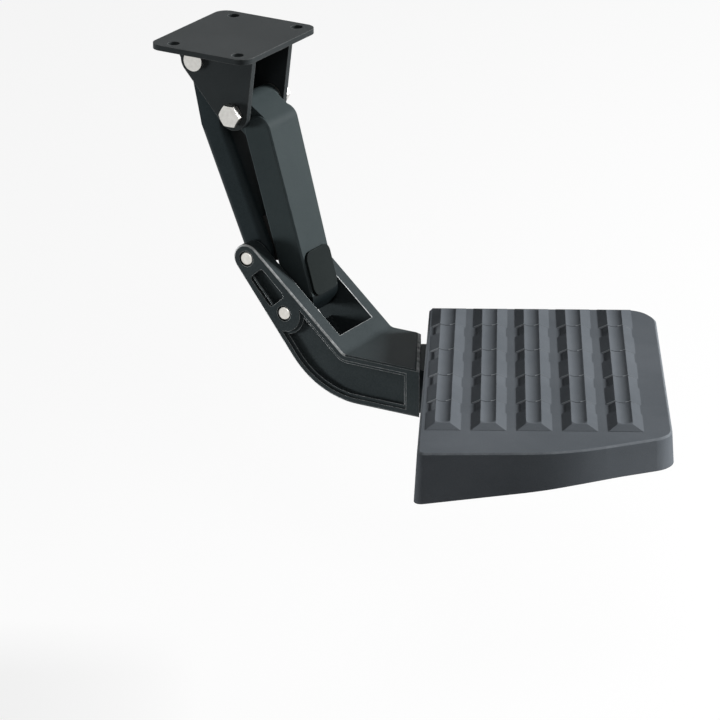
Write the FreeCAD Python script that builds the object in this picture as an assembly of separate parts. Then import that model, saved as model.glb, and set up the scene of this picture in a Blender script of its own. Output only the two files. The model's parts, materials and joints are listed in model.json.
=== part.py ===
import FreeCAD, Part
import math
import os

# Retractable bumper step that swings down on two equal links, in millimetres.
# Origin: centre of the bolt pattern on the bracket's top face.
# X points outboard along the arm, Y along the pivot pins, Z up.
# The model is built in its deployed position.

V = FreeCAD.Vector

# Linkage
link_length = 186.0
link_lean = 18.5
pivot_offset_x = 40.0
pivot_offset_z = -45.0
rear_pivot_x = -22.0
rear_pivot_drop = 18.0
stow_angle = 92.0

# Fits
running_gap = 0.05
seat_gap = 0.02
side_gap = 0.3
stop_gap = 0.3
screw_gap = 0.1

# Pins and bushes
pin_r = 6.0
pin_chamfer = 0.8
bush_wall = 2.0
bush_length = 16.0
flange_r = 11.0
flange_thickness = 1.5
cheek_gap = 56.0

# Bracket
plate_thickness = 5.0
plate_front_x = 50.0
plate_rear_x = -54.0
plate_width = 124.0
plate_corner_r = 12.0
ear_thickness = 6.0
ear_r = 15.0
ear_root_front_x = 40.0
ear_root_rear_x = -44.0
bolt_spacing_x = 68.0
bolt_spacing_y = 100.0
bolt_hole_r = 5.5

# Upper pivot hardware
head_r = 9.5
head_thickness = 4.0
ring_groove_r = 5.2
ring_r = 9.0
ring_thickness = 1.2
ring_opening = 6.0
pin_tail = 2.5
bolt_head_flats = 19.0
bolt_head_thickness = 7.5
nut_thickness = 10.0
hex_face_share = 0.95
hex_chamfer = 30.0
hex_margin = 1.0
bolt_tail = 3.0
disc_r = 12.5
disc_thickness = 1.5
disc_cone = 0.8
disc_pitch = 1.53
friction_disc_r = 13.0
friction_disc_thickness = 1.5

# Rear link
rear_lean = 22.9
rear_depth = 27.0
rear_ahead = 0.5
rear_body_length = 126.0
rear_body_width = 50.0
rear_edge_r = 7.0
rear_boss_r = 12.5

# Front link
front_lean = 15.8
front_depth = 28.0
front_ahead = 6.1
front_body_start = 8.0
front_body_length = 158.0
front_width_low = 43.0
front_width_high = 50.0
front_edge = 1.6
front_wall = 7.0
front_low_boss_r = 11.8
front_high_boss_r = 13.0
front_pocket_start = 104.0
front_pocket_end = 18.0
front_pocket_width = 32.0

# Bare cover plate on the front link
cover_width = 39.0
cover_length = 41.0
cover_thickness = 2.5
cover_corner_r = 8.0
cover_start = 6.5

# Rubber buffers
stow_buffer_rear_x = -52.0
stow_buffer_length = 14.0
stow_buffer_width = 32.0
link_buffer_start = 44.0
link_buffer_length = 42.0
link_buffer_width = 34.0

# Step arm
arm_width = 86.0
tip_r = 13.5
top_slope = 41.3
low_slope = 52.1
leg_top_z = -72.4
leg_bottom_z = -117.7
bend_r = 8.0
belly_r = 86.0
arm_edge = 1.4
arm_end_u = 137.0
arm_end_run = 4.5
arm_end_drop = 1.8
pin_counterbore_r = 7.3
pin_counterbore_depth = 2.0
window_length = 108.0
floor_wall = 8.0
floor_start_x = 47.0
pocket_depth = 6.0
pocket_rim = 5.5
pocket_ledge = 3.0
pocket_ledge_depth = 2.0
pocket_end = 14.0
ring_boss_r = 17.0
eye_length = 33.0
eye_low = 8.5
eye_high_start = 8.0
eye_high_end = 11.5
eye_corner_r = 3.5
eye_from_tip = 32.0
eye_rib_width = 1.8
eye_rib_inset = 2.2
eye_rib_depth = 1.0
cavity_start_x = 102.0
cavity_width = 54.0
cavity_roof = 9.0
cavity_end_wall = 10.0

# Foot of the arm under the pad
foot_top_z = -68.5
foot_thickness = 8.0
foot_near_v = -300.0
foot_far_v = -44.0
foot_outer_u = 325.0
foot_corner_r = 14.0
neck_near_v = -116.0
neck_far_v = -48.0
neck_thickness = 8.0
neck_overlap = 16.0
neck_reach = 12.5
neck_gap = 0.5
web_thickness = 8.0
web_end_u = 300.0
web_positions = (-112.0, -52.0)

# Step pad, along u outward and v away from the near edge
pad_angle = 29.9
pad_top_z = -49.5
pad_inner_u = 141.5
pad_inner_flare = 3.0
pad_outer_near_u = 358.0
pad_outer_far_u = 349.5
pad_near_v = -391.0
pad_sweep_u = 266.0
pad_sweep_v = -387.0
pad_corner_v = -345.0
pad_far_v = -26.0
pad_chamfer_u = 13.5
pad_chamfer_v = 24.0
pad_inner_r = 6.0
pad_sweep_r = 190.0
pad_corner_r = 24.0
pad_chamfer_r = 26.0
pad_rim = 1.6
pad_draft = 2.6
pad_deck = 4.5
pad_wall = 4.0
skirt_inner = 46.0
skirt_outer = 29.0
skirt_flat_u = 291.0
skirt_bend_r = 500.0
pad_rib_thickness = 2.5
pad_rib_pitch_u = 47.0
pad_rib_pitch_v = 50.0

# Tread
tread_count = 5
tread_near_pitch = 39.4
tread_far_pitch = 37.3
tread_near_inset = 3.0
tread_far_inset = 5.5
tread_near_v = -335.0
tread_segment = 64.2
tread_height = 3.8
tread_rise = 8.4
tread_channel = 13.4
tread_channel_depth = 1.7
tread_channel_end = 1.0
tread_fall = 9.2
tread_end_slope = 8.0
tread_far_slope = 11.0
tread_lug_length = 23.0
tread_lug = 4.2
tread_right_lug = 1.2
tread_groove = 0.9
tread_groove_depth = 0.9
tread_root = 1.0
tread_lip = 0.2
lug_step = 0.4

# Pad screws
screw_u = (186.0, 298.0)
screw_v = (-82.0, -166.0, -270.0)
screw_r = 4.0
screw_hole_r = 4.5
screw_head_r = 6.5
screw_head_height = 4.4
screw_socket_flats = 5.0
screw_socket_depth = 2.6
washer_r = 8.0
washer_thickness = 1.6
insert_r = 6.0
insert_length = 9.0
boss_r = 10.0

# Worked out from the sizes above
deg = math.radians
cheek = cheek_gap / 2
boss_half = cheek - side_gap - flange_thickness
ear_outer = cheek + ear_thickness
bush_r = pin_r + running_gap + bush_wall
arm_half = arm_width / 2
lean_vector = V(math.sin(deg(link_lean)), 0, -math.cos(deg(link_lean))) * link_length
pivot_offset = V(pivot_offset_x, 0, pivot_offset_z)
rear_high = V(rear_pivot_x, 0, -rear_pivot_drop)
front_high = rear_high + pivot_offset
rear_low = rear_high + lean_vector
front_low = rear_low + pivot_offset
Y_AXIS = V(0, 1, 0)
Z_AXIS = V(0, 0, 1)
CENTRE = V(0, 0, 0)
beyond = pad_outer_near_u + arm_half
neck_u = pad_inner_u + neck_reach
front_pocket_length = front_body_start + front_body_length - front_pocket_start - front_pocket_end


def xz(x, z):
    return V(x, 0, z)


def xy(x, y):
    return V(x, y, 0)


def line(start, end):
    return Part.LineSegment(start, end).toShape()


def arc(start, middle, end):
    return Part.Arc(start, middle, end).toShape()


def along_y(edges, y_low, y_high):
    """Solid of a closed outline in XZ, from y_low to y_high."""
    face = Part.Face(Part.Wire(edges))
    face.translate(V(0, y_low, 0))
    return face.extrude(V(0, y_high - y_low, 0))


def polygon(points):
    return [line(points[i - 1], points[i]) for i in range(len(points))]


def rod(centre, radius, y_low, y_high):
    return Part.makeCylinder(radius, y_high - y_low, V(centre.x, y_low, centre.z), Y_AXIS)


def tube(centre, outer_r, inner_r, y_low, y_high):
    return rod(centre, outer_r, y_low, y_high).cut(rod(centre, inner_r, y_low, y_high))


def hexagon(centre, flats, y_low, y_high):
    corner_r = flats / 2 / math.cos(deg(30))
    points = []
    for i in range(6):
        turn = deg(60 * i)
        points.append(centre + V(math.cos(turn), 0, math.sin(turn)) * corner_r)
    return along_y(polygon(points), y_low, y_high)


def bolt_hexagon(centre, flats, y_low, y_high):
    """Hexagonal prism with its corners turned off at both ends."""
    outer_r = flats / 2 / math.cos(deg(30)) + hex_margin
    face_r = flats / 2 * hex_face_share
    drop = (outer_r - face_r) * math.tan(deg(hex_chamfer))
    profile = [
        V(0, y_low, 0),
        V(face_r, y_low, 0),
        V(outer_r, y_low + drop, 0),
        V(outer_r, y_high - drop, 0),
        V(face_r, y_high, 0),
        V(0, y_high, 0),
    ]
    turned_blank = Part.Face(Part.Wire(polygon(profile))).revolve(CENTRE, Y_AXIS, 360)
    turned_blank.translate(centre)
    return hexagon(centre, flats, y_low, y_high).common(turned_blank)


def bar(p, r_p, q, r_q, y_low, y_high):
    """Bar with round ends: the hull of two circles in XZ."""
    along = (q - p).normalize()
    across = V(-along.z, 0, along.x)
    sine = (r_p - r_q) / (q - p).Length
    cosine = math.sqrt(1 - sine * sine)
    left = along * sine + across * cosine
    right = along * sine - across * cosine
    edges = [
        line(p + left * r_p, q + left * r_q),
        arc(q + left * r_q, q + along * r_q, q + right * r_q),
        line(q + right * r_q, p + right * r_p),
        arc(p + right * r_p, p - along * r_p, p + left * r_p),
    ]
    return along_y(edges, y_low, y_high)


def unit(from_point, to_point):
    length = math.hypot(to_point[0] - from_point[0], to_point[1] - from_point[1])
    return (to_point[0] - from_point[0]) / length, (to_point[1] - from_point[1]) / length


def corner_arc(before, here, after):
    """Start, middle and end of the arc that rounds one corner (a, b, radius)."""
    back = unit(here, before)
    on = unit(here, after)
    half = math.acos(back[0] * on[0] + back[1] * on[1]) / 2
    radius = here[2]
    reach = radius / math.tan(half)
    middle = unit((0, 0), (back[0] + on[0], back[1] + on[1]))
    inward = radius / math.sin(half) - radius
    start = (here[0] + back[0] * reach, here[1] + back[1] * reach)
    end = (here[0] + on[0] * reach, here[1] + on[1] * reach)
    return start, (here[0] + middle[0] * inward, here[1] + middle[1] * inward), end


def rounded(corners, place):
    """Closed outline through corners (a, b, radius), each one rounded."""
    count = len(corners)
    arcs = [corner_arc(corners[i - 1], corners[i], corners[(i + 1) % count]) for i in range(count)]
    edges = []
    for i in range(count):
        start, middle, end = arcs[i]
        edges.append(arc(place(*start), place(*middle), place(*end)))
        edges.append(line(place(*end), place(*arcs[(i + 1) % count][0])))
    return edges


def grown(corners, distance):
    """Corners of an outline that lies outside a convex, anticlockwise one by a distance."""
    count = len(corners)
    result = []
    for i in range(count):
        a, b, radius = corners[i]
        came = unit(corners[i - 1], corners[i])
        leaves = unit(corners[i], corners[(i + 1) % count])
        normals = (came[1], -came[0]), (leaves[1], -leaves[0])
        spread = 1 + normals[0][0] * normals[1][0] + normals[0][1] * normals[1][1]
        move_a = (normals[0][0] + normals[1][0]) / spread * distance
        move_b = (normals[0][1] + normals[1][1]) / spread * distance
        result.append((a + move_a, b + move_b, radius + distance))
    return result


def wire_at(corners, z):
    wire = Part.Wire(rounded(corners, xy))
    wire.translate(V(0, 0, z))
    return wire


def joined(first, others):
    """First solid fused with the others, with no seams left on shared faces."""
    return first.fuse(others).removeSplitter()


def write(name, shape):
    os.makedirs("parts", exist_ok=True)
    solids = shape.Solids
    kept = solids[0] if len(solids) == 1 else Part.makeCompound(solids)
    if not kept.isValid():
        print("not valid:", name)
    kept.exportStep(os.path.join("parts", name + ".step"))
    print(name, len(solids), "solids", round(kept.Volume))


# Bushes and pins
def flanged_bushes(pivot):
    """Pair of flanged bushes, one in each end of a link's boss."""
    bushes = []
    for side in (-1, 1):
        ends = sorted((side * boss_half, side * (boss_half - bush_length)))
        rim = sorted((side * boss_half, side * (boss_half + flange_thickness)))
        sleeve = rod(pivot, bush_r, *ends).fuse(rod(pivot, flange_r, *rim))
        whole = sorted((ends[0], ends[1], rim[0], rim[1]))
        bore = rod(pivot, pin_r + running_gap, whole[0], whole[-1])
        bushes.append(sleeve.cut(bore).removeSplitter())
    return Part.makeCompound(bushes)


def plain_bushes(pivot):
    """Pair of plain bushes for the pivot that has friction discs."""
    sleeves = []
    for side in (-1, 1):
        ends = sorted((side * boss_half, side * (boss_half - bush_length)))
        sleeves.append(tube(pivot, bush_r, pin_r + running_gap, *ends))
    return Part.makeCompound(sleeves)


def bush_bore(pivot):
    return rod(pivot, bush_r + seat_gap, -beyond, beyond)


def lower_pin(pivot):
    """Plain pin whose ends lie flush with the arm's sides."""
    pin = rod(pivot, pin_r, -arm_half, arm_half)
    rims = [edge for edge in pin.Edges if edge.Closed]
    return pin.makeChamfer(pin_chamfer, rims)


def rear_upper_pin():
    ring_y = ear_outer + side_gap
    end_y = ring_y + ring_thickness + pin_tail
    pin = rod(rear_high, pin_r, -ear_outer, end_y)
    head = rod(rear_high, head_r, -ear_outer - head_thickness, -ear_outer)
    groove = tube(rear_high, head_r, ring_groove_r, ring_y - seat_gap, ring_y + ring_thickness + seat_gap)
    return joined(pin, [head]).cut(groove)


def rear_upper_ring():
    ring_y = ear_outer + side_gap
    ring = tube(rear_high, ring_r, ring_groove_r + seat_gap, ring_y, ring_y + ring_thickness)
    corner = V(rear_high.x - ring_opening / 2, ring_y, rear_high.z)
    return ring.cut(Part.makeBox(ring_opening, ring_thickness, ring_r, corner))


def disc_springs():
    """Two nested conical washers under the nut."""
    discs = []
    for i in range(2):
        low = ear_outer + i * disc_pitch
        inner = pin_r + screw_gap
        profile = [
            V(inner, low + disc_cone, 0),
            V(disc_r, low, 0),
            V(disc_r, low + disc_thickness, 0),
            V(inner, low + disc_cone + disc_thickness, 0),
        ]
        disc = Part.Face(Part.Wire(polygon(profile))).revolve(CENTRE, Y_AXIS, 360)
        disc.translate(front_high)
        discs.append(disc)
    return Part.makeCompound(discs)


def nut_seat_y():
    return ear_outer + disc_pitch + disc_thickness + disc_cone + seat_gap


def front_upper_bolt():
    end_y = nut_seat_y() + nut_thickness + bolt_tail
    head = bolt_hexagon(front_high, bolt_head_flats, -ear_outer - bolt_head_thickness, -ear_outer)
    return joined(rod(front_high, pin_r, -ear_outer, end_y), [head])


def front_upper_nut():
    low = nut_seat_y()
    nut = bolt_hexagon(front_high, bolt_head_flats, low, low + nut_thickness)
    return nut.cut(rod(front_high, pin_r + seat_gap, low, low + nut_thickness))


def friction_discs():
    discs = []
    for side in (-1, 1):
        ends = sorted((side * cheek, side * (cheek - friction_disc_thickness)))
        discs.append(tube(front_high, friction_disc_r, pin_r + screw_gap, *ends))
    return Part.makeCompound(discs)


# Bracket
def mounting_bracket():
    """Top plate with four bolt holes and two ears for the upper pivots."""
    half = plate_width / 2
    corners = [
        (plate_rear_x, -half, plate_corner_r),
        (plate_front_x, -half, plate_corner_r),
        (plate_front_x, half, plate_corner_r),
        (plate_rear_x, half, plate_corner_r),
    ]
    plate = Part.Face(wire_at(corners, -plate_thickness)).extrude(V(0, 0, plate_thickness))
    pieces = []
    for side in (-1, 1):
        ends = sorted((side * cheek, side * ear_outer))
        web = [
            xz(ear_root_rear_x, -plate_thickness),
            xz(ear_root_front_x, -plate_thickness),
            xz(front_high.x + ear_r, front_high.z),
            front_high,
            rear_high,
            xz(rear_high.x - ear_r, rear_high.z),
        ]
        pieces.append(along_y(polygon(web), *ends))
        pieces.append(bar(rear_high, ear_r, front_high, ear_r, *ends))
    ears = joined(pieces[0], pieces[1:])
    above = Part.makeBox(beyond, beyond, beyond, V(-beyond / 2, -beyond / 2, -plate_thickness))
    bracket = joined(plate, [ears.cut(above)])
    holes = [rod(pivot, pin_r + seat_gap, -beyond, beyond) for pivot in (rear_high, front_high)]
    for x in (-bolt_spacing_x / 2, bolt_spacing_x / 2):
        for y in (-bolt_spacing_y / 2, bolt_spacing_y / 2):
            holes.append(Part.makeCylinder(bolt_hole_r, plate_thickness, V(x, y, -plate_thickness)))
    return bracket.cut(holes)


# Links
def link_axes(lean):
    """Unit vectors up along a link's body and ahead of it."""
    up = V(-math.sin(deg(lean)), 0, math.cos(deg(lean)))
    ahead = V(math.cos(deg(lean)), 0, math.sin(deg(lean)))
    return up, ahead


rear_up, rear_front = link_axes(rear_lean)
rear_body_low = rear_low + rear_front * rear_ahead
rear_body_high = rear_body_low + rear_up * rear_body_length
front_up, front_front = link_axes(front_lean)
front_axis = front_low + front_front * front_ahead
front_body_low = front_axis + front_up * front_body_start
front_body_high = front_body_low + front_up * front_body_length


def rear_link():
    """Round-edged bar with a boss at each end."""
    half = rear_body_width / 2
    body = bar(rear_body_low, rear_depth / 2, rear_body_high, rear_depth / 2, -half, half)
    rims = [edge for edge in body.Edges if edge.BoundBox.YLength < seat_gap]
    body = body.makeFillet(rear_edge_r, rims)
    ends = [
        rod(rear_low, rear_boss_r, -boss_half, boss_half),
        rod(rear_high, rear_boss_r, -boss_half, boss_half),
        bar(rear_body_high, rear_depth / 2 - rear_edge_r / 2, rear_high, rear_boss_r, -half, half),
    ]
    return joined(body, ends).cut([bush_bore(rear_low), bush_bore(rear_high)])


def front_taper():
    """Block whose sides narrow towards the lower end of the front link."""
    low = front_width_low / 2
    high = front_width_high / 2
    z_low = front_low.z
    z_high = front_high.z
    points = [V(0, -low, z_low), V(0, low, z_low), V(0, high, z_high), V(0, -high, z_high)]
    lengthened = [
        points[0] + (points[0] - points[3]),
        points[1] + (points[1] - points[2]),
        points[2] + (points[2] - points[1]),
        points[3] + (points[3] - points[0]),
    ]
    face = Part.Face(Part.Wire(polygon(lengthened)))
    face.translate(V(-beyond, 0, 0))
    return face.extrude(V(2 * beyond, 0, 0))


def front_link():
    """Deep tapered link with a flat front face, bosses and a pocket in its back."""
    half = front_width_high
    body_r = front_depth / 2
    body = bar(front_body_low, body_r, front_body_high, body_r, -half, half)
    body = body.common(front_taper())
    edges = []
    for edge in body.Edges:
        middle = edge.CenterOfMass
        ahead = (middle - front_axis).dot(front_front)
        if edge.Length > front_body_length / 2 and ahead > body_r / 2 and abs(middle.y) > front_edge:
            edges.append(edge)
    body = body.makeChamfer(front_edge, edges)
    low_half = front_width_low / 2
    ends = [
        rod(front_low, front_low_boss_r, -boss_half, boss_half),
        rod(front_high, front_high_boss_r, -boss_half, boss_half),
        bar(front_low, front_low_boss_r, front_body_low, body_r, -low_half, low_half),
        bar(front_body_high, body_r, front_high, front_high_boss_r, -low_half, low_half),
    ]
    link = joined(body, ends)
    depth = front_depth - front_wall
    corner = front_axis + front_up * front_pocket_start - front_front * body_r
    pocket = [
        corner,
        corner + front_front * depth,
        corner + front_front * depth + front_up * front_pocket_length,
        corner + front_up * front_pocket_length - front_front * body_r,
        corner - front_front * body_r,
    ]
    recess = along_y(polygon(pocket), -front_pocket_width / 2, front_pocket_width / 2)
    upper_boss = rod(front_high, front_high_boss_r, -boss_half, boss_half)
    return link.cut([recess.cut(upper_boss), bush_bore(front_low), bush_bore(front_high)])


def link_cover():
    """Plain plate with round corners on the front link's face."""
    half = cover_width / 2
    corners = [
        (-half, 0, cover_corner_r),
        (half, 0, cover_corner_r),
        (half, cover_length, cover_corner_r),
        (-half, cover_length, cover_corner_r),
    ]
    origin = front_axis + front_up * cover_start + front_front * (front_depth / 2)
    edges = rounded(corners, lambda a, b: origin + Y_AXIS * a + front_up * b)
    return Part.Face(Part.Wire(edges)).extrude(front_front * cover_thickness)


# Rubber buffers
def link_buffer():
    """Pad on the back of the front link that meets the rear link when deployed."""
    foot = front_axis + front_up * link_buffer_start - front_front * (front_depth / 2)
    top = foot + front_up * link_buffer_length
    reach = front_front * front_depth
    half = link_buffer_width / 2
    block = along_y(polygon([foot, top, top - reach, foot - reach]), -half, half)
    grown_r = rear_depth / 2 + stop_gap
    shadow = bar(rear_body_low, grown_r, rear_body_high, grown_r, -beyond, beyond)
    pieces = block.cut(shadow).Solids
    return max(pieces, key=lambda piece: piece.CenterOfMass.x)


def stow_buffer():
    """Pad under the plate that meets the back of the rear link when stowed."""
    front_x = stow_buffer_rear_x + stow_buffer_length
    points = [
        xz(stow_buffer_rear_x, -plate_thickness),
        xz(front_x, -plate_thickness),
        xz(front_x, rear_high.z),
        xz(stow_buffer_rear_x, rear_high.z),
    ]
    half = stow_buffer_width / 2
    block = along_y(polygon(points), -half, half)
    body_r = rear_depth / 2
    stowed = bar(rear_body_high, body_r + stop_gap, rear_high, rear_boss_r + stop_gap, -beyond, beyond)
    lower = bar(rear_body_low, body_r + stop_gap, rear_body_high, body_r + stop_gap, -beyond, beyond)
    shadow = stowed.fuse(lower)
    shadow.rotate(rear_high, Y_AXIS, stow_angle)
    pieces = block.cut(shadow).Solids
    return max(pieces, key=lambda piece: piece.CenterOfMass.z)


# Step arm, built about the rear lower pivot
top_normal = V(math.sin(deg(top_slope)), 0, math.cos(deg(top_slope)))
top_along = V(math.cos(deg(top_slope)), 0, -math.sin(deg(top_slope)))
low_normal = V(-math.sin(deg(low_slope)), 0, -math.cos(deg(low_slope)))
low_along = V(math.cos(deg(low_slope)), 0, -math.sin(deg(low_slope)))
top_start = top_normal * tip_r
low_start = low_normal * tip_r
bend = top_start + top_along * ((top_start.z - leg_top_z) / math.sin(deg(top_slope)))
low_corner = low_start + low_along * ((low_start.z - leg_bottom_z) / math.sin(deg(low_slope)))
belly_reach = belly_r * math.tan(deg(low_slope / 2))
belly_centre = xz(low_corner.x + belly_reach, leg_bottom_z + belly_r)


def arm_outline(end_x):
    """Side outline of the arm: round tip, sloping leg, level leg."""
    bend_reach = bend_r * math.tan(deg(top_slope / 2))
    bend_in = bend - top_along * bend_reach
    bend_out = bend + V(bend_reach, 0, 0)
    bend_centre = bend_out + V(0, 0, bend_r)
    bend_middle = bend_centre - (top_normal + Z_AXIS).normalize() * bend_r
    belly_in = low_corner - low_along * belly_reach
    belly_out = low_corner + V(belly_reach, 0, 0)
    belly_middle = belly_centre + (low_normal - Z_AXIS).normalize() * belly_r
    tip_middle = (top_along + low_along).normalize() * -tip_r
    return [
        arc(low_start, tip_middle, top_start),
        line(top_start, bend_in),
        arc(bend_in, bend_middle, bend_out),
        line(bend_out, xz(end_x, leg_top_z)),
        line(xz(end_x, leg_top_z), xz(end_x, leg_bottom_z)),
        line(xz(end_x, leg_bottom_z), belly_out),
        arc(belly_out, belly_middle, belly_in),
        line(belly_in, low_start),
    ]


def floor_z(x):
    radius = belly_r - floor_wall
    return belly_centre.z - math.sqrt(radius ** 2 - (x - belly_centre.x) ** 2)


def fork_slot():
    """Space between the arm's cheeks, open at the tip, the top and below the pivots."""
    end = top_start + top_along * window_length
    middle_x = (floor_start_x + end.x) / 2
    floor_start = xz(floor_start_x, floor_z(floor_start_x))
    floor_end = xz(end.x, floor_z(end.x))
    out_below = floor_start + low_normal * (2 * tip_r)
    edges = [
        arc(floor_start, xz(middle_x, floor_z(middle_x)), floor_end),
        line(floor_end, xz(end.x, beyond)),
        line(xz(end.x, beyond), xz(-beyond, beyond)),
        line(xz(-beyond, beyond), xz(-beyond, out_below.z)),
        line(xz(-beyond, out_below.z), out_below),
        line(out_below, floor_start),
    ]
    return along_y(edges, -cheek, cheek)


def inset_recess(end_x, inset, depth):
    """Recess in the arm's near side, inset from the outline, from the pivot boss to end_x."""
    outline = Part.Face(Part.Wire(arm_outline(end_x + inset)))
    shape = outline.makeOffset2D(-inset)
    shape.translate(V(0, -arm_half, 0))
    recess = shape.extrude(V(0, depth, 0))
    front = pivot_offset
    boss_r = ring_boss_r + inset - pocket_rim
    behind = [
        front - top_normal * beyond,
        front + top_normal * beyond,
        front + top_normal * beyond - top_along * beyond,
        front - top_normal * beyond - top_along * beyond,
    ]
    return recess.cut([rod(front, boss_r, -beyond, beyond), along_y(polygon(behind), -beyond, beyond)])


def leg_pocket(side):
    """Stepped recess in one side of the level leg."""
    end_x = (arm_end_u + side * arm_half * math.sin(deg(pad_angle))) / math.cos(deg(pad_angle)) - pocket_end
    shallow = inset_recess(end_x, pocket_rim, pocket_ledge_depth)
    deep = inset_recess(end_x - pocket_ledge, pocket_rim + pocket_ledge, pocket_depth)
    recess = shallow.fuse(deep)
    if side < 0:
        recess = recess.mirror(CENTRE, Y_AXIS)
    return recess


def eye_pocket(side):
    """Recess between the two pivots with a thin rib beside its lower wall."""
    along = V(pivot_offset).normalize()
    across = V(-along.z, 0, along.x)
    middle = along * eye_from_tip
    half_long = eye_length / 2
    corners = [
        (-half_long, -eye_low, eye_corner_r),
        (half_long, -eye_low, eye_corner_r),
        (half_long, eye_high_end, eye_corner_r),
        (-half_long, eye_high_start, eye_corner_r),
    ]
    edges = rounded(corners, lambda a, b: middle + along * a + across * b)
    recess = along_y(edges, -arm_half, pocket_depth - arm_half)
    rib_low = eye_rib_inset - eye_low
    rib = [
        middle + along * -beyond + across * rib_low,
        middle + along * beyond + across * rib_low,
        middle + along * beyond + across * (rib_low + eye_rib_width),
        middle + along * -beyond + across * (rib_low + eye_rib_width),
    ]
    recess = recess.cut(along_y(polygon(rib), eye_rib_depth - arm_half, arm_half))
    if side < 0:
        recess = recess.mirror(CENTRE, Y_AXIS)
    return recess


def turned(shape):
    """Shape built along u and v, turned to the pad's angle about the rear lower pivot."""
    shape.rotate(CENTRE, Z_AXIS, pad_angle)
    return shape


def arm_foot():
    """Plate under the pad with tapered webs below, joined to the arm by a neck."""
    corners = [
        (neck_u, foot_near_v, foot_corner_r),
        (foot_outer_u, foot_near_v, foot_corner_r),
        (foot_outer_u, foot_far_v, foot_corner_r),
        (neck_u, foot_far_v, foot_corner_r / 2),
    ]
    low = foot_top_z - foot_thickness
    plate = Part.Face(wire_at(corners, low)).extrude(V(0, 0, foot_thickness))
    neck_width = neck_far_v - neck_near_v
    neck_length = neck_u + neck_overlap - arm_end_u
    neck_corner = V(arm_end_u, neck_near_v, low - neck_thickness)
    pieces = [Part.makeBox(neck_length, neck_width, neck_thickness, neck_corner)]
    for v in web_positions:
        web = [
            xz(arm_end_u, leg_bottom_z),
            xz(arm_end_u, low),
            xz(web_end_u, low),
        ]
        pieces.append(along_y(polygon(web), v - web_thickness / 2, v + web_thickness / 2))
    return turned(plate.fuse(pieces))


def step_arm():
    """Forked arm: two cheeks, a level leg with side recesses, and the foot under the pad."""
    arm = along_y(arm_outline(beyond), -arm_half, arm_half)
    rims = [edge for edge in arm.Edges if edge.BoundBox.YLength < seat_gap]
    arm = arm.makeChamfer(arm_edge, rims)
    past_end = turned(Part.makeBox(beyond, 4 * beyond, beyond, V(arm_end_u, -2 * beyond, -beyond)))
    end_rim = [
        xz(arm_end_u - 2 * arm_end_run, leg_top_z + arm_end_drop),
        xz(arm_end_u + arm_end_run, leg_top_z + arm_end_drop),
        xz(arm_end_u + arm_end_run, leg_top_z - 2 * arm_end_drop),
    ]
    arm = arm.cut(past_end).cut(turned(along_y(polygon(end_rim), -beyond, beyond)))
    cavity_height = leg_top_z - cavity_roof - leg_bottom_z
    cavity = Part.makeBox(
        beyond, cavity_width, cavity_height, V(cavity_start_x, -cavity_width / 2, leg_bottom_z)
    )
    end_wall = turned(
        Part.makeBox(beyond, 4 * beyond, beyond, V(arm_end_u - cavity_end_wall, -2 * beyond, -beyond))
    )
    tools = [fork_slot(), cavity.cut(end_wall)]
    for side in (-1, 1):
        tools.append(leg_pocket(-side))
        tools.append(eye_pocket(side))
    for tool in tools:
        arm = arm.cut(tool)
    arm = joined(arm, [arm_foot()])
    holes = []
    for pivot in (CENTRE, pivot_offset):
        holes.append(rod(pivot, pin_r + seat_gap, -beyond, beyond))
        holes.append(rod(pivot, pin_counterbore_r, -arm_half, pin_counterbore_depth - arm_half))
        holes.append(rod(pivot, pin_counterbore_r, arm_half - pin_counterbore_depth, arm_half))
    for place in screw_places():
        holes.append(Part.makeCylinder(screw_hole_r, beyond, place - Z_AXIS * beyond))
    arm = arm.cut(holes)
    arm.translate(rear_low)
    return arm


# Step pad, built along u and v about the rear lower pivot
def screw_places():
    """Centres of the pad screws on the foot's top, turned to the pad's angle."""
    places = []
    turn = FreeCAD.Rotation(Z_AXIS, pad_angle)
    for u in screw_u:
        for v in screw_v:
            places.append(turn.multVec(V(u, v, foot_top_z)))
    return places


pad_corners = [
    (pad_inner_u - pad_inner_flare, pad_near_v, pad_inner_r),
    (pad_sweep_u, pad_sweep_v, pad_sweep_r),
    (pad_outer_near_u, pad_corner_v, pad_corner_r),
    (pad_outer_far_u, pad_far_v - pad_chamfer_v, pad_chamfer_r),
    (pad_outer_far_u - pad_chamfer_u, pad_far_v, pad_chamfer_r),
    (pad_inner_u + pad_inner_flare, pad_far_v, pad_inner_r),
]


def pad_block(inset, top_z, rim):
    """Drafted block of the pad's outline below top_z, with its upper rim bevelled."""
    low_z = pad_top_z - skirt_inner
    spread = pad_draft * (pad_top_z - top_z) / skirt_inner
    sections = [
        wire_at(grown(pad_corners, spread - inset - rim), top_z),
        wire_at(grown(pad_corners, spread - inset), top_z - rim),
        wire_at(grown(pad_corners, pad_draft - inset), low_z),
    ]
    if rim == 0:
        sections = sections[1:]
    return Part.makeLoft(sections, True, True)


def below_skirt():
    """Space under the skirt, whose lower edge rises outward and then runs level."""
    low = pad_top_z - skirt_inner
    high = pad_top_z - skirt_outer
    start_u = pad_inner_u - pad_draft
    slope = (high - low) / (skirt_flat_u - start_u)
    corners = [
        (start_u - skirt_flat_u, low - slope * skirt_flat_u, 1.0),
        (start_u - skirt_flat_u, low - beyond, 1.0),
        (2 * skirt_flat_u, low - beyond, 1.0),
        (2 * skirt_flat_u, high, 1.0),
        (skirt_flat_u, high, skirt_bend_r),
    ]
    return along_y(rounded(corners, xz), -2 * beyond, beyond)


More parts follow.
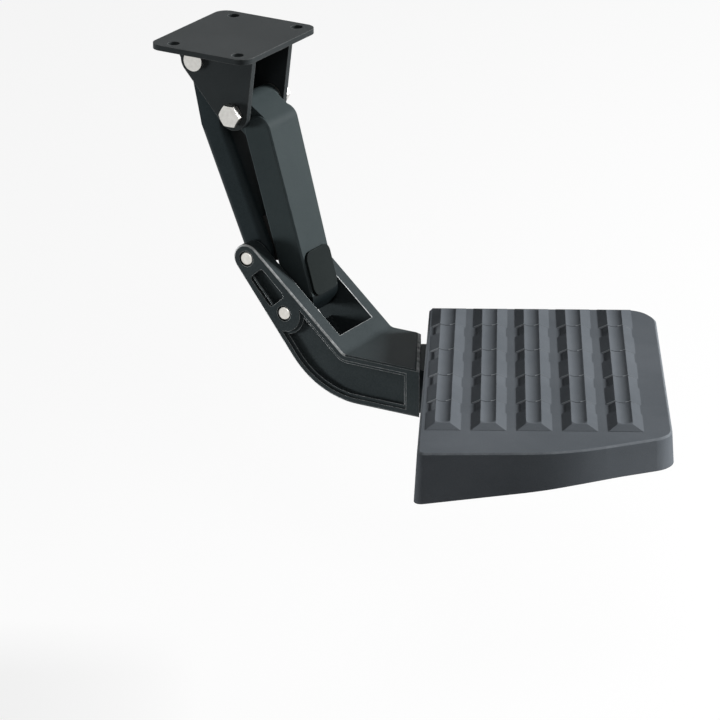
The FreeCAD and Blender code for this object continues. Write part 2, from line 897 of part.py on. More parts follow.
def pad_ribs():
    """Grid of thin ribs under the deck that rests on the foot."""
    height = pad_top_z - foot_top_z
    ribs = []
    u = pad_inner_u + pad_rib_pitch_u
    while u < pad_outer_far_u - pad_wall:
        corner = V(u, pad_near_v, foot_top_z)
        ribs.append(Part.makeBox(pad_rib_thickness, pad_far_v - pad_near_v, height - pad_rim, corner))
        u += pad_rib_pitch_u
    v = pad_far_v - pad_rib_pitch_v
    while v > pad_near_v + pad_wall:
        corner = V(pad_inner_u, v, foot_top_z)
        width = pad_outer_near_u - pad_inner_u
        ribs.append(Part.makeBox(width, pad_rib_thickness, height - pad_rim, corner))
        v -= pad_rib_pitch_v
    return ribs


def tread_section(u, v, height, notch):
    """Rib section: steep flank, flat crest and gentle flank, with its root in the deck."""
    base = pad_top_z - tread_root
    crest = pad_top_z + height
    left = u + tread_rise
    right = left + tread_channel
    foot = u + notch * tread_lug
    end = right + tread_fall - notch * tread_right_lug
    points = [
        V(foot, v, base),
        V(foot, v, pad_top_z),
        V(left, v, crest),
        V(right, v, crest),
        V(end, v, pad_top_z),
        V(end, v, base),
    ]
    return Part.Wire(polygon(points))


def above_slope(foot_v, top_v):
    """Space above the plane that rises from the deck at foot_v to the crest at top_v."""
    foot = V(0, foot_v, pad_top_z + tread_lip)
    top = V(0, top_v, pad_top_z + tread_height)
    low = foot * 2 - top
    high = top * 2 - foot
    face = Part.Face(Part.Wire(polygon([low, high, V(0, low.y, high.z)])))
    return face.extrude(V(beyond, 0, 0))


def tread_channel_space(start, end, joints):
    """Space of one round-ended channel about its axis, with a fine ring at each joint."""
    along = end - start
    length = along.Length
    along.normalize()
    radius = (tread_channel ** 2 / 4 + tread_channel_depth ** 2) / (2 * tread_channel_depth)

    def at(distance, height):
        return start + along * distance + Z_AXIS * height

    half = radius / math.sqrt(2)
    points = [at(0, radius)]
    for joint in joints:
        points.append(at(joint - tread_groove / 2, radius))
        points.append(at(joint - tread_groove / 2, radius + tread_groove_depth))
        points.append(at(joint + tread_groove / 2, radius + tread_groove_depth))
        points.append(at(joint + tread_groove / 2, radius))
    points += [at(length, radius), at(length, 0), at(-radius, 0)]
    edges = [arc(at(-radius, 0), at(-half, half), at(0, radius))]
    edges += [line(points[i], points[i + 1]) for i in range(len(points) - 1)]
    space = Part.Face(Part.Wire(edges)).revolve(start, along, 360)
    space.translate(Z_AXIS * (pad_top_z + tread_height - tread_channel_depth + radius))
    return space


def tread_rib(number):
    """One tread rib: mitred ends, a round-ended channel, and segments with lugs and grooves."""
    near_u = pad_inner_u + tread_near_inset + number * tread_near_pitch
    far_u = pad_inner_u + tread_far_inset + number * tread_far_pitch
    far_v = pad_far_v - pad_rim
    channel_v = tread_near_v + tread_end_slope + tread_channel_end + tread_channel / 2

    def rib_u(v):
        return near_u + (far_u - near_u) * (v - tread_near_v) / (far_v - tread_near_v)

    def section(v, height, notch):
        return tread_section(rib_u(v), v, height, notch)

    def channel_point(v):
        return xy(rib_u(v) + tread_rise + tread_channel / 2, v)

    sections = [section(tread_near_v, tread_height, 0)]
    joints = []
    joint = tread_near_v + tread_segment
    while joint < far_v - tread_far_slope:
        sections.append(section(joint - tread_lug_length, tread_height, 0))
        sections.append(section(joint - tread_lug_length + lug_step, tread_height, 1))
        sections.append(section(joint - tread_groove, tread_height, 1))
        sections.append(section(joint, tread_height - tread_groove_depth, 1 / 2))
        sections.append(section(joint + tread_groove, tread_height, 0))
        joints.append((channel_point(joint) - channel_point(channel_v)).Length)
        joint += tread_segment
    sections.append(section(far_v, tread_height, 0))
    rib = Part.makeLoft(sections, True, True)
    near_end = above_slope(tread_near_v, tread_near_v + tread_end_slope)
    far_end = above_slope(far_v, far_v - tread_far_slope)
    channel = tread_channel_space(channel_point(channel_v), channel_point(far_v + tread_channel), joints)
    return rib.cut([near_end, far_end]).cut(channel)


def step_pad():
    """Moulded pad: drafted skirt, ribbed underside, screw bosses and tread."""
    outer = pad_block(0, pad_top_z, pad_rim)
    hollow = pad_block(pad_wall, pad_top_z - pad_deck, 0)
    shell = outer.cut(hollow).cut(below_skirt())
    inside = pad_block(pad_wall / 2, pad_top_z - pad_deck / 2, 0)
    posts = []
    height = pad_top_z - pad_deck / 2 - foot_top_z
    for u in screw_u:
        for v in screw_v:
            posts.append(Part.makeCylinder(boss_r, height, V(u, v, foot_top_z)))
    ribs = pad_ribs()
    under = ribs[0].fuse(ribs[1:] + posts).common(inside)
    pad = joined(shell, [under])
    notch_length = neck_reach
    notch_width = neck_far_v - neck_near_v + 2 * neck_gap
    notch_top = foot_top_z - foot_thickness + neck_gap
    notch_corner = V(pad_inner_u - notch_length, neck_near_v - neck_gap, notch_top - skirt_inner)
    pad = pad.cut(Part.makeBox(2 * notch_length, notch_width, skirt_inner, notch_corner))
    treads = [tread_rib(number) for number in range(tread_count)]
    pad = joined(pad, treads)
    turned(pad)
    holes = []
    for place in screw_places():
        holes.append(Part.makeCylinder(insert_r + seat_gap, insert_length, place))
    pad = pad.cut(holes)
    pad.translate(rear_low)
    return pad


# Pad fasteners
def pad_inserts():
    inserts = []
    for place in screw_places():
        body = Part.makeCylinder(insert_r, insert_length, place)
        inserts.append(body.cut(Part.makeCylinder(screw_r + seat_gap, insert_length, place)))
    group = Part.makeCompound(inserts)
    group.translate(rear_low)
    return group


def pad_screws():
    screws = []
    seat = foot_thickness + washer_thickness
    for place in screw_places():
        under = place - Z_AXIS * seat
        shank = Part.makeCylinder(screw_r, seat + insert_length - screw_gap, under)
        head = Part.makeCylinder(screw_head_r, screw_head_height, under - Z_AXIS * screw_head_height)
        rim = [edge for edge in head.Edges if edge.Closed and edge.CenterOfMass.z < under.z - screw_gap]
        head = head.makeFillet(screw_head_height / 2, rim)
        socket = hexagon(CENTRE, screw_socket_flats, 0, screw_socket_depth)
        socket.rotate(CENTRE, V(1, 0, 0), 90)
        socket.translate(under - Z_AXIS * screw_head_height)
        screws.append(joined(shank, [head]).cut(socket))
    group = Part.makeCompound(screws)
    group.translate(rear_low)
    return group


def pad_washers():
    washers = []
    for place in screw_places():
        low = place - Z_AXIS * (foot_thickness + washer_thickness)
        washer = Part.makeCylinder(washer_r, washer_thickness, low)
        washers.append(washer.cut(Part.makeCylinder(screw_r + screw_gap, washer_thickness, low)))
    group = Part.makeCompound(washers)
    group.translate(rear_low)
    return group


write("mounting_bracket", mounting_bracket())
write("rear_upper_pin", rear_upper_pin())
write("rear_upper_ring", rear_upper_ring())
write("front_upper_bolt", front_upper_bolt())
write("front_upper_nut", front_upper_nut())
write("disc_springs", disc_springs())
write("friction_discs", friction_discs())
write("stow_buffer", stow_buffer())
write("rear_link", rear_link())
write("rear_upper_bushes", flanged_bushes(rear_high))
write("rear_lower_bushes", flanged_bushes(rear_low))
write("front_link", front_link())
write("link_cover", link_cover())
write("link_buffer", link_buffer())
write("front_upper_bushes", plain_bushes(front_high))
write("front_lower_bushes", flanged_bushes(front_low))
write("step_arm", step_arm())
write("rear_lower_pin", lower_pin(rear_low))
write("front_lower_pin", lower_pin(front_low))
write("step_pad", step_pad())
write("pad_inserts", pad_inserts())
write("pad_screws", pad_screws())
write("pad_washers", pad_washers())
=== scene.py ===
import json
import math
import bmesh
import bpy
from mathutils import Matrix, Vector


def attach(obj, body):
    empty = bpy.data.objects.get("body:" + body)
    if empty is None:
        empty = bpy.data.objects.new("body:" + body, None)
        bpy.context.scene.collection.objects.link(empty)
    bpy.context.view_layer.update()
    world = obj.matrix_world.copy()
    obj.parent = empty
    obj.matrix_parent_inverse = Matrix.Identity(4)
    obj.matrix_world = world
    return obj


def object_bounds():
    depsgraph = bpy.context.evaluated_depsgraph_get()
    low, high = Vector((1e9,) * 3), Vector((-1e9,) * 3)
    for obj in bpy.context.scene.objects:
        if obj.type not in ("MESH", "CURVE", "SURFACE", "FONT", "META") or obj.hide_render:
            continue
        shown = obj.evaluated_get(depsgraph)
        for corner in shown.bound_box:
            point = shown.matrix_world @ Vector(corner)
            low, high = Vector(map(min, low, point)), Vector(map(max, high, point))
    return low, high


# Retractable step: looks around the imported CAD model, in metres
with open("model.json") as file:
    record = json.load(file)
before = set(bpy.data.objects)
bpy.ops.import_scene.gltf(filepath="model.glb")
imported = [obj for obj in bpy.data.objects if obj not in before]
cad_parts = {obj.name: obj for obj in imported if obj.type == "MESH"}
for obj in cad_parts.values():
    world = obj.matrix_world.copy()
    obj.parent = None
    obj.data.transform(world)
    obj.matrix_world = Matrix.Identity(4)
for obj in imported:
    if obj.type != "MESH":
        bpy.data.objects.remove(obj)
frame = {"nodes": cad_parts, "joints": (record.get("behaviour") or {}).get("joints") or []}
cad_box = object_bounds()
nodes = frame["nodes"]
scene = bpy.context.scene
scene.view_settings.view_transform = "Standard"

# Directions, and a limit that lies past the whole part
ALONG_X = (1.0, 0.0, 0.0)
ALONG_Y = (0.0, 1.0, 0.0)
ALONG_Z = (0.0, 0.0, 1.0)
ACROSS_PINS = (1.0, 0.0, 1.0)
FAR_OFF = 1.0

# Pivots, from the frame's joints
pivots = {joint["name"]: Vector(joint["pos_m"]) for joint in frame["joints"]}
FRONT_HIGH = pivots["front_link_swing"]
FRONT_LOW = pivots["step_level"]
REAR_LOW = pivots["rear_link_swing"] + FRONT_LOW - FRONT_HIGH

# Front link: the painted shade on its lower end stops where the cover starts
LINK_UP = (FRONT_HIGH - FRONT_LOW).normalized()
COVER_START = 0.0065

# Arm: top face of the slope, and the far edge of the fork's window in it, where a highlight is
# painted
# A lean gives limits for how much of a bevel's normal lies along one axis
SLOPE_ANGLE = math.radians(41.3)
SLOPE_UP = Vector((math.sin(SLOPE_ANGLE), 0.0, math.cos(SLOPE_ANGLE)))
SLOPE_OVER_PIVOT = 0.0135
SLOPE_HEIGHT = REAR_LOW.dot(SLOPE_UP) + SLOPE_OVER_PIVOT
SLOPE_PLAY = 0.0005
SLOPE_BEVEL_LEAN = (0.35, 0.93)
WINDOW_EDGE = (0.02802, 0.0290)
WINDOW_START = 0.0
WINDOW_END = 0.1271

# Pad: outward across the tread, and far along its ribs
PAD_ANGLE = math.radians(29.9)
PAD_OUTWARD = Vector((math.cos(PAD_ANGLE), math.sin(PAD_ANGLE), 0.0))
PAD_FAR = Vector((-math.sin(PAD_ANGLE), math.cos(PAD_ANGLE), 0.0))
PAD_UNDER_PIVOT = 0.0495
PAD_TOP = REAR_LOW.z - PAD_UNDER_PIVOT
PAD_RIM_LEAN = (0.5, 0.86)

# Arm: the level leg from the slope to its bevelled end beside the pad
LEG_START = 0.1415
LEG_REACH = 0.137
LEG_END = REAR_LOW.dot(PAD_OUTWARD) + LEG_REACH
# Lean of the leg end's bevel, and the band across it that takes a painted highlight
LEG_BEVEL_LEAN = (0.85, 0.97)
LEG_HIGHLIGHT_WIDTH = 0.0028
LEG_PLAY = 0.001

# Tread: painted highlights on the lips at the joints between the ribs' segments, on flanks turned
# towards the arm
TREAD_REACH = 0.335
TREAD_NEAR = REAR_LOW.dot(PAD_FAR) - TREAD_REACH
TREAD_SEGMENT = 0.0642
LIP_WIDTH = 0.0024
LIP_OVER_DECK = 0.0003
FLANK_TURN = -0.15

# Rubbed edges, which on the arm are also a painted highlight: cosine from flat to sharp, and
# openness from an inner to an outer edge
EDGE_SAMPLES = 6
EDGE_SHARPNESS = (0.99, 0.86)
EDGE_OPENNESS = (0.8, 0.95)
EDGE_RADII = 3.0

# Coats: ranges of the noise and what they become
TONE_NOISE = (0.7, 1.3)
SCUFF_NOISE = (0.35, 0.65)
SCUFF_WEAR = (0.3, 1.0)
FINE_NOISE = (0.3, 0.7)
ROUGH_PLAY = 0.07
COAT_RELIEF = 0.55
RING_PITCH = 0.0007


# Shader nodes
def new_material(name):
    material = bpy.data.materials.new(name)
    material.use_nodes = True
    tree = material.node_tree
    return material, tree, tree.nodes["Principled BSDF"]


def add(tree, kind, inputs=None, **settings):
    """New node with its settings, and inputs given as values or as sockets to link."""
    node = tree.nodes.new("ShaderNode" + kind)
    for name, value in settings.items():
        setattr(node, name, value)
    for name, value in (inputs or {}).items():
        if isinstance(value, bpy.types.NodeSocket):
            tree.links.new(value, node.inputs[name])
        else:
            node.inputs[name].default_value = value
    return node


def calc(tree, operation, *terms):
    """Result of one calculation on numbers or sockets."""
    return add(tree, "Math", dict(enumerate(terms)), operation=operation).outputs["Value"]


def vector_calc(tree, operation, *terms):
    return add(tree, "VectorMath", dict(enumerate(terms)), operation=operation).outputs


def dot(tree, first, second):
    return vector_calc(tree, "DOT_PRODUCT", first, second)["Value"]


def both(tree, first, second):
    return calc(tree, "MULTIPLY", first, second)


def either(tree, first, second):
    return calc(tree, "MAXIMUM", first, second)


def within(tree, value, low, high):
    """1 where a value lies between two limits."""
    above = calc(tree, "GREATER_THAN", value, low)
    below = calc(tree, "LESS_THAN", value, high)
    return both(tree, above, below)


def place(tree):
    """Place on the part at rest, in the frame's metres."""
    return add(tree, "TexCoord").outputs["Object"]


def face_normal(tree):
    return add(tree, "NewGeometry").outputs["True Normal"]


def noise(tree, scale, detail, rough):
    inputs = {"Vector": place(tree), "Scale": scale, "Detail": detail, "Roughness": rough}
    return add(tree, "TexNoise", inputs).outputs["Fac"]


def spread(tree, value, source, target=(0.0, 1.0)):
    """Value carried from one range over to another, and held at its ends."""
    inputs = {"Value": value, "From Min": source[0], "From Max": source[1]}
    inputs.update({"To Min": target[0], "To Max": target[1]})
    return add(tree, "MapRange", inputs).outputs["Result"]


def blend_colour(tree, fac, first, second):
    """Mix of two colours, each given as a tuple or as a socket."""
    node = add(tree, "Mix", data_type="RGBA")
    tree.links.new(fac, node.inputs["Factor"])
    for socket, colour in ((node.inputs[6], first), (node.inputs[7], second)):
        if isinstance(colour, bpy.types.NodeSocket):
            tree.links.new(colour, socket)
        else:
            socket.default_value = (*colour, 1.0)
    return node.outputs[2]


def bump(tree, height, strength, distance, normal):
    inputs = {"Height": height, "Strength": strength, "Distance": distance, "Normal": normal}
    return add(tree, "Bump", inputs).outputs["Normal"]


def rounded_normal(tree, radius):
    """Normal of the mesh as if its edges were rounded."""
    return add(tree, "Bevel", {"Radius": radius}, samples=EDGE_SAMPLES).outputs["Normal"]


def edge_mask(tree, rounded, radius):
    """1 close to an outward edge of the mesh, 0 on its faces."""
    normal = add(tree, "NewGeometry").outputs["Normal"]
    near = spread(tree, dot(tree, rounded, normal), EDGE_SHARPNESS)
    reach = {"Distance": EDGE_RADII * radius}
    openness = add(tree, "AmbientOcclusion", reach, samples=EDGE_SAMPLES, only_local=True)
    outward = spread(tree, openness.outputs["AO"], EDGE_OPENNESS)
    return both(tree, near, outward)


# Masks for places on the part
def bevel_faces(tree, axis, low, high):
    """1 on faces that lean between two directions, such as the bevel between a side and a top."""
    parts = add(tree, "SeparateXYZ", {"Vector": face_normal(tree)})
    return within(tree, calc(tree, "ABSOLUTE", parts.outputs[axis]), low, high)


def between(tree, direction, low, high):
    """1 where the place along a direction lies between two limits."""
    return within(tree, dot(tree, place(tree), direction), low, high)


def arm_bevel_highlights(tree):
    """Painted highlights on the bevels along the slope and across the leg's end, and on the far
    edge of the window.
    """
    before_leg = between(tree, ALONG_X, -FAR_OFF, LEG_START)
    slope = both(tree, bevel_faces(tree, "Y", *SLOPE_BEVEL_LEAN), before_leg)
    at_end = between(tree, PAD_OUTWARD, LEG_END - LEG_HIGHLIGHT_WIDTH, LEG_END + LEG_PLAY)
    end = both(tree, bevel_faces(tree, "Z", *LEG_BEVEL_LEAN), at_end)
    on_top = between(tree, SLOPE_UP, SLOPE_HEIGHT - SLOPE_PLAY, SLOPE_HEIGHT + SLOPE_PLAY)
    along_window = between(tree, ALONG_X, WINDOW_START, WINDOW_END)
    by_window = both(tree, between(tree, ALONG_Y, *WINDOW_EDGE), along_window)
    return either(tree, either(tree, slope, end), both(tree, on_top, by_window))


def painted_joint_highlights(tree):
    """Painted highlights on the lips at the tread's joints, on the flanks that face the arm."""
    past_near = calc(tree, "SUBTRACT", dot(tree, place(tree), PAD_FAR), TREAD_NEAR)
    past_joint = calc(tree, "FLOORED_MODULO", past_near, TREAD_SEGMENT)
    at_joint = calc(tree, "LESS_THAN", past_joint, LIP_WIDTH)
    facing = calc(tree, "LESS_THAN", dot(tree, face_normal(tree), PAD_OUTWARD), FLANK_TURN)
    beyond_end = between(tree, PAD_FAR, TREAD_NEAR + TREAD_SEGMENT / 2, FAR_OFF)
    above_deck = between(tree, ALONG_Z, PAD_TOP + LIP_OVER_DECK, FAR_OFF)
    return both(tree, both(tree, at_joint, facing), both(tree, beyond_end, above_deck))


def painted_shade_link_end(tree):
    """Painted shade on the lower end of the front link, below its cover."""
    return between(tree, LINK_UP, -FAR_OFF, FRONT_LOW.dot(LINK_UP) + COVER_START)


def pad_rim_wear_and_highlight(tree):
    """Bevelled upper rim of the pad, made lighter as a rubbed rim and as a painted highlight."""
    return bevel_faces(tree, "Z", *PAD_RIM_LEAN)


# Materials
def coated(
    name, dark, light, worn_and_highlight, rough, grain, grain_depth, gloss, edge_radius, bevel_wear_and_highlights=None, painted_light=None
):
    """Powder coat or moulded plastic: two close tones, fine grain, edges rubbed lighter; given
    bevels take the edge colour as wear and painted highlight, and a given place is painted over in
    its own colour as painted shade (front link's end) and painted highlight (tread's joints).
    """
    material, tree, shader = new_material(name)
    patches = noise(tree, scale=9.0, detail=4.0, rough=0.6)
    grains = noise(tree, scale=grain, detail=3.0, rough=0.65)
    rounded = rounded_normal(tree, edge_radius)
    edges = edge_mask(tree, rounded, edge_radius)
    if bevel_wear_and_highlights is not None:
        edges = either(tree, edges, bevel_wear_and_highlights(tree))
    scratches = noise(tree, scale=120.0, detail=5.0, rough=0.7)
    wear_and_highlight_mask = both(tree, edges, spread(tree, scratches, SCUFF_NOISE, SCUFF_WEAR))
    mottle = spread(tree, calc(tree, "ADD", patches, grains), TONE_NOISE)
    colour = blend_colour(tree, wear_and_highlight_mask, blend_colour(tree, mottle, dark, light), worn_and_highlight)
    # A given place is painted over in its own colour: painted shade on the front link's end,
    # painted highlight on the tread's joints
    if painted_light is not None:
        where, painted_light_colour = painted_light
        colour = blend_colour(tree, where(tree), colour, painted_light_colour)
    roughness = spread(tree, grains, FINE_NOISE, (rough - ROUGH_PLAY, rough + ROUGH_PLAY))
    normal = bump(tree, grains, COAT_RELIEF, grain_depth, rounded)
    tree.links.new(colour, shader.inputs["Base Color"])
    tree.links.new(roughness, shader.inputs["Roughness"])
    tree.links.new(normal, shader.inputs["Normal"])
    shader.inputs["Specular IOR Level"].default_value = gloss
    return material


def turned_rings(tree, centre):
    """Fine rings round the axis of a pin through centre."""
    offset = vector_calc(tree, "SUBTRACT", place(tree), centre)["Vector"]
    flat = vector_calc(tree, "MULTIPLY", offset, ACROSS_PINS)["Vector"]
    radius = vector_calc(tree, "LENGTH", flat)["Value"]
    return calc(tree, "SINE", calc(tree, "MULTIPLY", radius, 2.0 * math.pi / RING_PITCH))


def metal(name, low, high, mottle, rough, relief, depth, edge_radius, rings_at=None):
    """Bare metal with a faint mottle, or with turned rings where their centre is given."""
    material, tree, shader = new_material(name)
    smudge = noise(tree, scale=mottle, detail=4.0, rough=0.6)
    height = smudge if rings_at is None else turned_rings(tree, rings_at)
    colour = blend_colour(tree, spread(tree, smudge, FINE_NOISE), low, high)
    normal = bump(tree, height, relief, depth, rounded_normal(tree, edge_radius))
    tree.links.new(colour, shader.inputs["Base Color"])
    tree.links.new(spread(tree, smudge, FINE_NOISE, rough), shader.inputs["Roughness"])
    tree.links.new(normal, shader.inputs["Normal"])
    shader.inputs["Metallic"].default_value = 1.0
    return material


def plated(name, low, high):
    """Plated metal, between two close tones."""
    return metal(
        name, low, high, mottle=320.0, rough=(0.28, 0.45), relief=0.2, depth=0.00005,
        edge_radius=0.0005,
    )


def turned(name, centre):
    """Bright turned steel for the pin through centre."""
    return metal(
        name, low=(0.66, 0.64, 0.59), high=(0.80, 0.78, 0.74), mottle=180.0, rough=(0.24, 0.4),
        relief=0.25, depth=0.00004, edge_radius=0.0006, rings_at=centre,
    )


# Arm: its pale edge colour is rubbed paint along the edges and a painted highlight on the slope's
# bevels, the leg's end and the window's far edge
arm_coat = coated(
    "arm_black",
    dark=(0.026, 0.033, 0.035), light=(0.048, 0.058, 0.061), worn_and_highlight=(0.66, 0.68, 0.68),
    rough=0.5, grain=900.0, grain_depth=0.00035, gloss=0.03, edge_radius=0.0008,
    bevel_wear_and_highlights=arm_bevel_highlights,
)
# Front link: its lower end below the cover is painted dark as shade
link_coat = coated(
    "link_grey",
    dark=(0.028, 0.037, 0.039), light=(0.041, 0.052, 0.054), worn_and_highlight=(0.085, 0.098, 0.102),
    rough=0.5, grain=1100.0, grain_depth=0.00015, gloss=0.05, edge_radius=0.0009,
    painted_light=(painted_shade_link_end, (0.006, 0.009, 0.010)),
)
rear_coat = coated(
    "link_black",
    dark=(0.013, 0.019, 0.021), light=(0.025, 0.033, 0.036), worn_and_highlight=(0.06, 0.07, 0.073),
    rough=0.42, grain=1100.0, grain_depth=0.00015, gloss=0.06, edge_radius=0.0009,
)
bracket_coat = coated(
    "bracket_steel",
    dark=(0.020, 0.024, 0.025), light=(0.036, 0.041, 0.043), worn_and_highlight=(0.15, 0.155, 0.155),
    rough=0.5, grain=1000.0, grain_depth=0.00025, gloss=0.05, edge_radius=0.0009,
)
# Pad: its pale edge colour is a rubbed rim and a painted highlight, and its joints' lips are
# painted lighter as highlights
pad_moulding = coated(
    "pad_plastic",
    dark=(0.086, 0.096, 0.107), light=(0.121, 0.133, 0.147), worn_and_highlight=(0.158, 0.172, 0.186),
    rough=0.6, grain=1700.0, grain_depth=0.00025, gloss=0.004, edge_radius=0.0010,
    bevel_wear_and_highlights=pad_rim_wear_and_highlight, painted_light=(painted_joint_highlights, (0.30, 0.32, 0.34)),
)
cover_moulding = coated(
    "cover_plastic",
    dark=(0.007, 0.010, 0.010), light=(0.014, 0.018, 0.018), worn_and_highlight=(0.045, 0.052, 0.052),
    rough=0.45, grain=1800.0, grain_depth=0.00010, gloss=0.03, edge_radius=0.0008,
)
polymer = coated(
    "bush_polymer",
    dark=(0.050, 0.050, 0.046), light=(0.062, 0.062, 0.056), worn_and_highlight=(0.12, 0.12, 0.11),
    rough=0.55, grain=2600.0, grain_depth=0.00006, gloss=0.2, edge_radius=0.0004,
)
rubber = coated(
    "buffer_rubber",
    dark=(0.010, 0.010, 0.010), light=(0.022, 0.022, 0.021), worn_and_highlight=(0.045, 0.045, 0.043),
    rough=0.75, grain=1600.0, grain_depth=0.00015, gloss=0.15, edge_radius=0.0008,
)
steel = plated("pin_steel", low=(0.60, 0.59, 0.56), high=(0.72, 0.71, 0.68))
brass = plated("insert_brass", low=(0.55, 0.42, 0.18), high=(0.66, 0.52, 0.25))
rear_pin_steel = turned("rear_pin_steel", REAR_LOW)
front_pin_steel = turned("front_pin_steel", FRONT_LOW)

finishes = {
    "mounting_bracket": bracket_coat,
    "rear_upper_pin": steel,
    "rear_upper_ring": steel,
    "front_upper_bolt": steel,
    "front_upper_nut": steel,
    "disc_springs": steel,
    "friction_discs": polymer,
    "stow_buffer": rubber,
    "rear_link": rear_coat,
    "rear_upper_bushes": polymer,
    "rear_lower_bushes": polymer,
    "front_link": link_coat,
    "link_cover": cover_moulding,
    "link_buffer": rubber,
    "front_upper_bushes": polymer,
    "front_lower_bushes": polymer,
    "step_arm": arm_coat,
    "rear_lower_pin": rear_pin_steel,
    "front_lower_pin": front_pin_steel,
    "step_pad": pad_moulding,
    "pad_inserts": brass,
    "pad_screws": steel,
    "pad_washers": steel,
}
for name, material in finishes.items():
    for material_slot in nodes[name].material_slots:
        material_slot.material = material


# Weld beads between the bracket's plate and ears
PLATE_UNDER = -0.005
EAR_OUTER = 0.034
WELD_START = -0.0430
WELD_END = 0.0390
WELD_STEPS = 260
WELD_RING = 8
WELD_PITCH = 0.0023
WELD_LEG = 0.0030
WELD_TAPER = 0.005

# Shares of the bead's leg: at its tapered tips, between ripples, in a ripple, along its toes
WELD_TIP = 0.1
WELD_BODY = 0.84
WELD_RIPPLE = 0.10
WELD_TOE = 0.06

# How far a ripple's middle lags behind its toes, in pitches
WELD_LAG = 0.9


def weld_radius(x, turn):
    """Bead's radius at a place along it, and at a share of the quarter turn across it."""
    near_end = min(x - WELD_START, WELD_END - x) / WELD_TAPER
    taper = math.sin(min(near_end, 1.0) * math.pi / 2) * (1.0 - WELD_TIP) + WELD_TIP
    off_middle = 2.0 * turn - 1.0
    lag = WELD_LAG * (1.0 - off_middle ** 2)
    ripple = math.sin(math.pi * (x / WELD_PITCH - lag)) ** 2 * math.sin(math.pi * turn)
    return WELD_LEG * taper * (WELD_BODY + WELD_RIPPLE * ripple + WELD_TOE * abs(off_middle))


def weld_bead(name, side):
    """Fillet bead along the outer foot of one ear, with stacked crescent ripples."""
    mesh = bpy.data.meshes.new(name)
    shape = bmesh.new()
    rings = []
    for i in range(WELD_STEPS + 1):
        x = WELD_START + (WELD_END - WELD_START) * i / WELD_STEPS
        ring = [shape.verts.new((x, side * EAR_OUTER, PLATE_UNDER))]
        for k in range(WELD_RING):
            turn = k / (WELD_RING - 1)
            angle = turn * math.pi / 2
            radius = weld_radius(x, turn)
            y = side * (EAR_OUTER + radius * math.cos(angle))
            z = PLATE_UNDER - radius * math.sin(angle)
            ring.append(shape.verts.new((x, y, z)))
        rings.append(ring)
    for first, second in zip(rings, rings[1:]):
        for k in range(len(first)):
            after = (k + 1) % len(first)
            shape.faces.new((first[k], first[after], second[after], second[k]))
    shape.faces.new(rings[0])
    shape.faces.new(rings[-1])
    bmesh.ops.recalc_face_normals(shape, faces=shape.faces)
    shape.to_mesh(mesh)
    shape.free()
    for face in mesh.polygons:
        face.use_smooth = True
    mesh.materials.append(bracket_coat)
    bead = bpy.data.objects.new(name, mesh)
    scene.collection.objects.link(bead)
    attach(bead, "bracket")


weld_bead("weld_near", -1)
weld_bead("weld_far", 1)


# Floor and world: white where they are seen, greyer in the light that they throw on the part
FLOOR_DROP = 0.25
FLOOR_HALF = 6.0
FLOOR_SEEN = (0.9, 0.9, 0.9)
FLOOR_BOUNCE = (0.45, 0.45, 0.45)
FLOOR_ROUGH = 0.9
FLOOR_GLOW = 0.8
AMBIENT = 0.08


def background_rays(tree):
    """1 for camera, mirror and see-through rays, which show the plain background."""
    path = add(tree, "LightPath").outputs
    seen = either(tree, path["Is Camera Ray"], path["Is Glossy Ray"])
    return either(tree, seen, path["Is Transmission Ray"])


def floor_material():
    """Pale floor, part plain white and part lit, so that it keeps the shadow."""
    material, tree, shader = new_material("floor_white")
    seen = background_rays(tree)
    colour = blend_colour(tree, seen, FLOOR_BOUNCE, FLOOR_SEEN)
    tree.links.new(colour, shader.inputs["Base Color"])
    shader.inputs["Roughness"].default_value = FLOOR_ROUGH
    shader.inputs["Specular IOR Level"].default_value = 0.0
    glow = add(tree, "Emission", {"Strength": 1.0}).outputs["Emission"]
    share = calc(tree, "MULTIPLY", seen, FLOOR_GLOW)
    mix = add(tree, "MixShader", {0: share, 1: shader.outputs["BSDF"], 2: glow})
    tree.links.new(mix.outputs["Shader"], tree.nodes["Material Output"].inputs["Surface"])
    return material


def make_floor():
    z = cad_box[0][2] - FLOOR_DROP
    quarters = ((-1, -1), (1, -1), (1, 1), (-1, 1))
    corners = [(x * FLOOR_HALF, y * FLOOR_HALF, z) for x, y in quarters]
    mesh = bpy.data.meshes.new("floor")
    mesh.from_pydata(corners, [], [(0, 1, 2, 3)])
    mesh.materials.append(floor_material())
    floor = bpy.data.objects.new("floor", mesh)
    scene.collection.objects.link(floor)


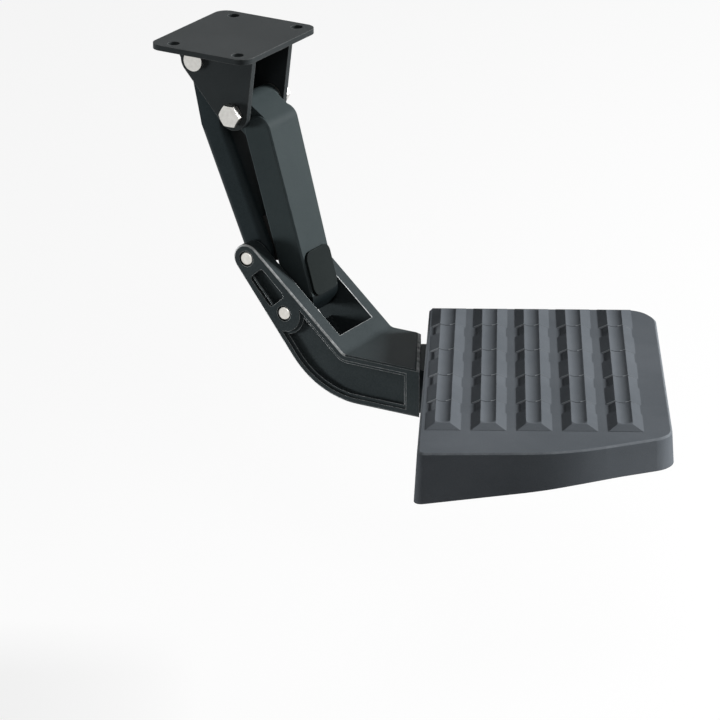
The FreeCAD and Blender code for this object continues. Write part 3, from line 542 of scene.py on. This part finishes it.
def make_world():
    world = bpy.data.worlds.new("studio")
    scene.world = world
    world.use_nodes = True
    tree = world.node_tree
    background = tree.nodes["Background"]
    strength = spread(tree, background_rays(tree), (0.0, 1.0), (AMBIENT, 1.0))
    tree.links.new(strength, background.inputs["Strength"])
    background.inputs["Color"].default_value = (1.0, 1.0, 1.0, 1.0)


# Lamps and camera
CAMERA_TARGET = Vector((0.13146, 0.0, -0.28730))
CAMERA_AZIMUTH = math.radians(31.3)
CAMERA_ELEVATION = math.radians(20.4)
CAMERA_DISTANCE = 5.363
CAMERA_LENS = 295.2
CAMERA_SENSOR = 36.0
CAMERA_REACH = 50.0


def aim(thing, direction):
    """Turns a lamp or the camera along a direction, and puts it in the scene."""
    thing.rotation_euler = direction.to_track_quat("-Z", "Y").to_euler()
    scene.collection.objects.link(thing)


def area_light(name, place_at, target, size, power, spread_deg=180.0, in_mirrors=True):
    lamp = bpy.data.lights.new(name, "AREA")
    lamp.size = size
    lamp.energy = power
    lamp.spread = math.radians(spread_deg)
    lamp_object = bpy.data.objects.new(name, lamp)
    lamp_object.location = place_at
    lamp_object.visible_glossy = in_mirrors
    aim(lamp_object, Vector(target) - Vector(place_at))


def make_camera():
    camera = bpy.data.cameras.new("camera")
    camera.sensor_width = CAMERA_SENSOR
    camera.lens = CAMERA_LENS
    camera.clip_end = CAMERA_REACH
    camera_object = bpy.data.objects.new("camera", camera)
    level = math.cos(CAMERA_ELEVATION)
    x = math.sin(CAMERA_AZIMUTH) * level
    y = -math.cos(CAMERA_AZIMUTH) * level
    back = Vector((x, y, math.sin(CAMERA_ELEVATION)))
    camera_object.location = CAMERA_TARGET + back * CAMERA_DISTANCE
    aim(camera_object, -back)
    scene.camera = camera_object


make_floor()
make_world()
area_light(
    "key", place_at=(3.44, 2.38, 1.76), target=(0.25, -0.02, -0.27), size=1.0, power=365.0,
)
area_light(
    "fill", place_at=(1.25, -1.6, 1.55), target=(0.2, 0.0, -0.25), size=0.7, power=7.0,
)
area_light(
    "low", place_at=(-1.2, -0.75, -0.40), target=(0.1, 0.0, -0.22), size=0.4, power=2.5,
    spread_deg=60.0, in_mirrors=False,
)
make_camera()
